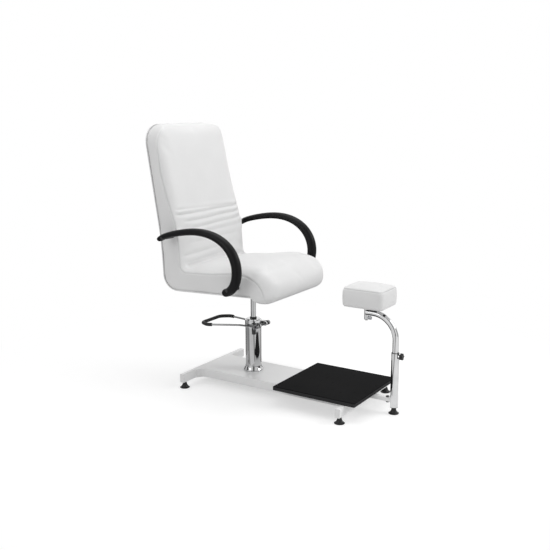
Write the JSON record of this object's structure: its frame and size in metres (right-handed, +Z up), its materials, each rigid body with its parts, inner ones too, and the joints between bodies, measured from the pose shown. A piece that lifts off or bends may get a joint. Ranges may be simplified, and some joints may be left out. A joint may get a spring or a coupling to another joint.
{
  "type": "pedicure spa chair",
  "caption": "Upholstered pedicure armchair that swivels on a foot-pumped hydraulic ram, on a steel base with a foot deck and a height-adjustable leg rest on a pole.",
  "frame": {"origin": "middle of the footprint at floor level, on the chair's plane of symmetry", "axes": "+Z up; the chair faces -Y; the sitter's right is -X"},
  "size_m": [0.688, 1.2018, 1.232],
  "materials": {
    "white_leatherette": "satin",
    "white_paint": "satin",
    "black_paint": "satin",
    "chrome": "polished",
    "zinc_steel": "satin",
    "spring_steel": "satin",
    "white_plastic": "satin",
    "black_plastic": "satin",
    "black_moulding": "satin",
    "black_rubber": "matte",
    "deck_vinyl": "matte",
    "black_board": "satin",
    "particle_board": "matte",
    "plywood": "matte"
  },
  "bodies": {
    "base": {"platform": "white_paint", "platform_sides": "white_paint", "rear_beam": "white_paint", "front_beam": "white_paint", "beam_caps": "white_plastic", "foot_nuts": "zinc_steel", "deck_board": "black_board", "deck_mat": "deck_vinyl", "deck_screws": "zinc_steel", "backing_plate": "zinc_steel", "pump_flange": "zinc_steel", "pump_bolts": "zinc_steel", "base_ring": "chrome", "pump_barrel": "chrome", "inner_cylinder": "zinc_steel", "pump_head": "chrome", "head_cap": "chrome", "ram_wiper": "black_rubber", "pivot_shaft": "black_paint", "shaft_clips": "spring_steel", "plunger_housing": "black_paint", "plunger_spring": "spring_steel", "pole_strut": "white_paint", "strut_bolt": "black_paint", "pole_tube": "chrome", "pole_bush": "black_plastic", "pole_plug": "black_plastic"},
    "rear_right_foot": {"foot_rear_right": "black_plastic"},
    "rear_left_foot": {"foot_rear_left": "black_plastic"},
    "front_right_foot": {"foot_front_right": "black_plastic"},
    "front_left_foot": {"foot_front_left": "black_plastic"},
    "pole_foot": {"foot_pole": "black_plastic"},
    "pump_ram": {"ram": "chrome", "ram_piston": "zinc_steel", "thrust_washer": "zinc_steel"},
    "chair": {"seat_plate": "black_paint", "seat_bolts": "zinc_steel", "bottom_board": "black_moulding", "plywood_shell": "plywood", "back_cover": "white_leatherette", "back_cushion": "white_leatherette", "seat_cushion": "white_leatherette", "arm_right": "black_moulding", "arm_left": "black_moulding", "arm_spacers": "black_plastic", "arm_bolts": "zinc_steel", "arm_blocks": "plywood"},
    "pedal": {"pedal_fork": "chrome", "pedal_sleeve": "black_rubber"},
    "pump_plunger": {"plunger": "zinc_steel"},
    "footrest": {"footrest_tube": "chrome", "pad_socket": "chrome"},
    "pad": {"pad_post": "black_paint", "pad_screws": "zinc_steel", "pad_board": "plywood", "leg_pad": "white_leatherette"},
    "clamp": {"clamp_knob": "black_plastic", "clamp_screw": "zinc_steel"},
    "lock": {"pad_lock_screw": "black_plastic"}
  },
  "joints": [
    {"name": "ram_lift", "type": "slide", "parent": "base", "child": "pump_ram", "axis": [0, 0, 1], "range_m": [-0.105, 0.03]},
    {"name": "chair_swivel", "type": "hinge", "parent": "pump_ram", "child": "chair", "pos_m": [0, 0.1729, 0.47], "axis": [0, 0, 1], "continuous": true},
    {"name": "pedal_press", "type": "hinge", "parent": "base", "child": "pedal", "pos_m": [0, 0.1229, 0.3], "axis": [1, 0, 0], "range_deg": [-18, 0], "stiffness_Nm_per_rad": 6, "springref_deg": 20.05},
    {"name": "plunger_press", "type": "slide", "parent": "base", "child": "pump_plunger", "axis": [0, 0, 1], "range_m": [-0.0046, 0], "deforming": ["plunger_spring"]},
    {"name": "footrest_height", "type": "slide", "parent": "base", "child": "footrest", "axis": [0, 0, 1], "range_m": [0, 0.15]},
    {"name": "pad_turn", "type": "hinge", "parent": "footrest", "child": "pad", "pos_m": [0, -0.4231, 0.43], "axis": [0, 0, 1], "continuous": true},
    {"name": "clamp_turn", "type": "hinge", "parent": "base", "child": "clamp", "pos_m": [0, -0.5851, 0.262], "axis": [0, 1, 0], "continuous": true},
    {"name": "lock_turn", "type": "hinge", "parent": "footrest", "child": "lock", "pos_m": [0, -0.4391, 0.4135], "axis": [0, 1, 0], "continuous": true},
    {"name": "rear_right_foot_turn", "type": "hinge", "parent": "base", "child": "rear_right_foot", "pos_m": [-0.228, 0.4149, 0.04], "axis": [0, 0, 1], "continuous": true},
    {"name": "rear_left_foot_turn", "type": "hinge", "parent": "base", "child": "rear_left_foot", "pos_m": [0.228, 0.4149, 0.04], "axis": [0, 0, 1], "continuous": true},
    {"name": "front_right_foot_turn", "type": "hinge", "parent": "base", "child": "front_right_foot", "pos_m": [-0.228, -0.4191, 0.04], "axis": [0, 0, 1], "continuous": true},
    {"name": "front_left_foot_turn", "type": "hinge", "parent": "base", "child": "front_left_foot", "pos_m": [0.228, -0.4191, 0.04], "axis": [0, 0, 1], "continuous": true},
    {"name": "pole_foot_turn", "type": "hinge", "parent": "base", "child": "pole_foot", "pos_m": [0, -0.5651, 0.04], "axis": [0, 0, 1], "continuous": true}
  ],
  "couplings": [
    {"joint": "plunger_press", "follows": "pedal_press", "m_per_rad": 0.0139}
  ]
}
